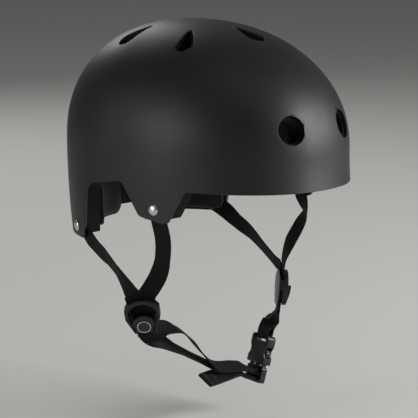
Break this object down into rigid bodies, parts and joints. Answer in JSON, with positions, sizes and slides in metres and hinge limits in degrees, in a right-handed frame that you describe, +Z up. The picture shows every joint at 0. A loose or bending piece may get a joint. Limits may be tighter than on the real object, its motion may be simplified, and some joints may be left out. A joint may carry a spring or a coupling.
{
  "type": "skateboard helmet",
  "caption": "Hard-shell dome helmet with ear cut-outs and vents, foam liner, comfort pads and a webbing chin harness with cam-lever dividers and a side-release buckle.",
  "frame": {"origin": "on the crown axis at the widest level of the head, at the middle of the head opening", "axes": "+Z up through the crown, -Y towards the front of the helmet, +X towards the wearer's left"},
  "size_m": [0.2167, 0.2765, 0.3481],
  "materials": {
    "shell": "fine matt moulded ABS, near black",
    "liner": "black expanded bead foam",
    "pad": "black brushed knit over soft foam",
    "patch": "black hook tape",
    "rivet": "bright domed steel",
    "webbing": "black woven webbing",
    "moulding": "satin black acetal moulding",
    "disc": "black disc with a plain pale ring"
  },
  "bodies": {
    "helmet": {"outer_shell": "shell", "foam_liner": "liner", "brow_pad": "pad", "side_pad_left": "pad", "side_pad_right": "pad", "rear_pad_left": "pad", "rear_pad_right": "pad", "crown_pad": "pad", "hook_patches": "patch", "flap_rivets": "rivet", "lobe_rivets": "rivet", "rivet_washers": "rivet", "front_strap_left": "webbing", "front_strap_right": "webbing", "rear_strap_left": "webbing", "rear_strap_right": "webbing", "divider_left": "moulding", "divider_right": "moulding", "divider_pins": "rivet", "chin_strap_upper": "webbing", "chin_strap_lower": "webbing", "chin_loop_left": "webbing", "buckle_female": "moulding"},
    "lever_right": {"divider_lever_right": "moulding", "divider_disc_right": "disc"},
    "lever_left": {"divider_lever_left": "moulding", "divider_disc_left": "disc"},
    "buckle_slider": {"buckle_male": "moulding", "adjuster_strap": "webbing"},
    "arm_front": {"buckle_arm_front": "moulding"},
    "arm_rear": {"buckle_arm_rear": "moulding"}
  },
  "joints": [
    {"name": "divider_lever_right", "type": "hinge", "parent": "helmet", "child": "lever_right", "pos_m": [-0.09158, -0.0271, -0.15703], "axis": [0.6362, -0.7628, 0.1159], "range_deg": [0, 100]},
    {"name": "divider_lever_left", "type": "hinge", "parent": "helmet", "child": "lever_left", "pos_m": [0.09317, -0.02853, -0.16369], "axis": [0.6562, 0.7447, -0.1214], "range_deg": [-9, 91]},
    {"name": "buckle_release", "type": "slide", "parent": "helmet", "child": "buckle_slider", "axis": [-0.2702, 0.0545, -0.9613], "range_m": [0, 0.026], "deforming": ["buckle_arm_front", "buckle_arm_rear"]},
    {"name": "buckle_arm_front", "type": "hinge", "parent": "buckle_slider", "child": "arm_front", "pos_m": [0.06298, -0.03039, -0.2232], "axis": [-0.9423, 0.19, 0.2756], "range_deg": [0, 10], "stiffness_Nm_per_rad": 0.05},
    {"name": "buckle_arm_rear", "type": "hinge", "parent": "buckle_slider", "child": "arm_rear", "pos_m": [0.06642, -0.01333, -0.2232], "axis": [0.9423, -0.19, -0.2756], "range_deg": [0, 10], "stiffness_Nm_per_rad": 0.05}
  ]
}
